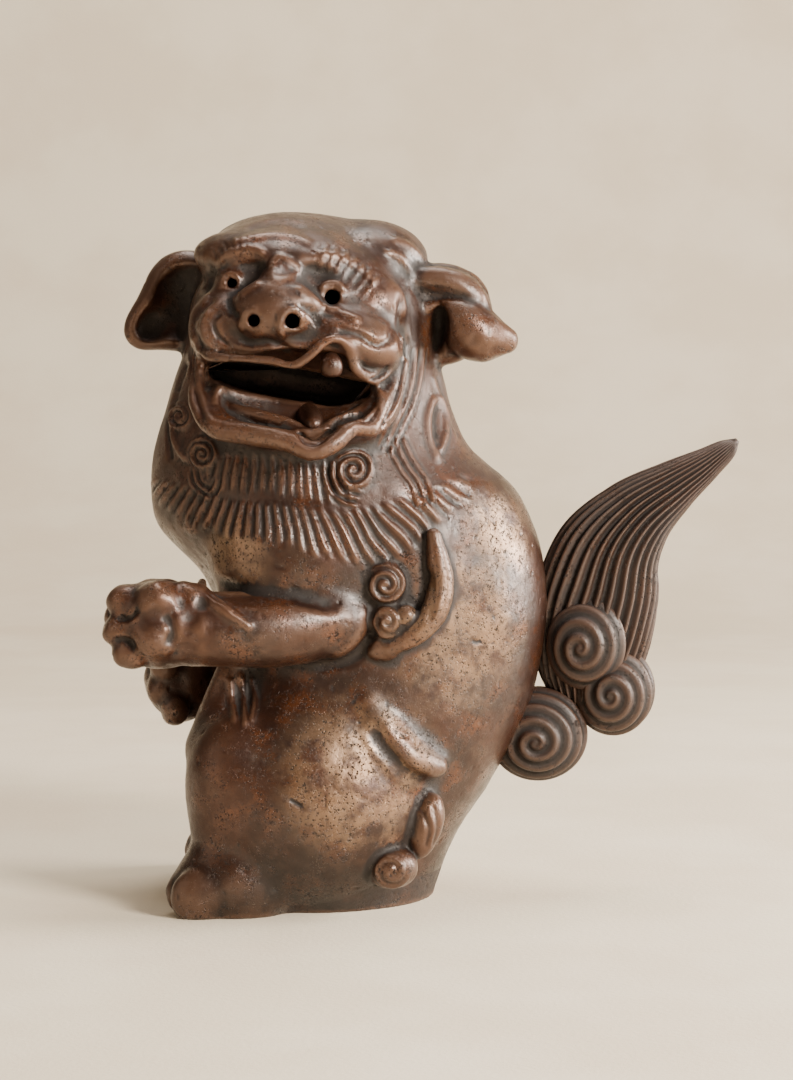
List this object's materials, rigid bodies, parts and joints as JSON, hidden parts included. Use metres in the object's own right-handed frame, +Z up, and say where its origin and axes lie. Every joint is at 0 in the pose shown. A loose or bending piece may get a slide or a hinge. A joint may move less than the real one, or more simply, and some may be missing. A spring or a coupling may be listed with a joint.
{
  "type": "guardian lion figurine",
  "caption": "Small hollow stoneware guardian lion sitting up on its haunches, head turned aside, mouth open, combed mane and upswept combed tail with curls.",
  "frame": {"origin": "centre of the resting face under the base slab, on the floor", "axes": "+Z up; -Y the way the turned head looks, the display front; -X the way the body and forelegs head; the tail rises towards +X"},
  "size_m": [0.0859, 0.0474, 0.0944],
  "materials": {
    "body_clay": "unglazed self-glossed stoneware, dark reddish brown",
    "mane_clay": "unglazed stoneware, combed, half matt",
    "tail_clay": "unglazed stoneware, combed, dark and matt",
    "slab_clay": "unglazed stoneware, dry underside"
  },
  "bodies": {
    "root": {"base_slab": "slab_clay", "body_left_shell": "body_clay", "body_right_shell": "body_clay", "mane_collar": "mane_clay", "face_mask": "body_clay", "skull_cap": "mane_clay", "lower_jaw": "body_clay", "upper_fangs": "body_clay", "tongue": "body_clay", "left_foreleg": "body_clay", "right_foreleg": "body_clay", "tail_plume": "tail_clay", "tail_curl_upper": "tail_clay", "tail_curl_rear": "tail_clay", "tail_curl_lower": "tail_clay", "left_ear": "body_clay", "left_haunch": "body_clay", "left_hind_foot": "body_clay", "left_shoulder_curls": "body_clay", "left_shoulder_flame": "body_clay", "left_hock_tuft": "body_clay", "right_ear": "body_clay", "right_haunch": "body_clay", "right_hind_foot": "body_clay", "right_shoulder_curls": "body_clay", "right_shoulder_flame": "body_clay", "right_hock_tuft": "body_clay"}
  },
  "joints": []
}
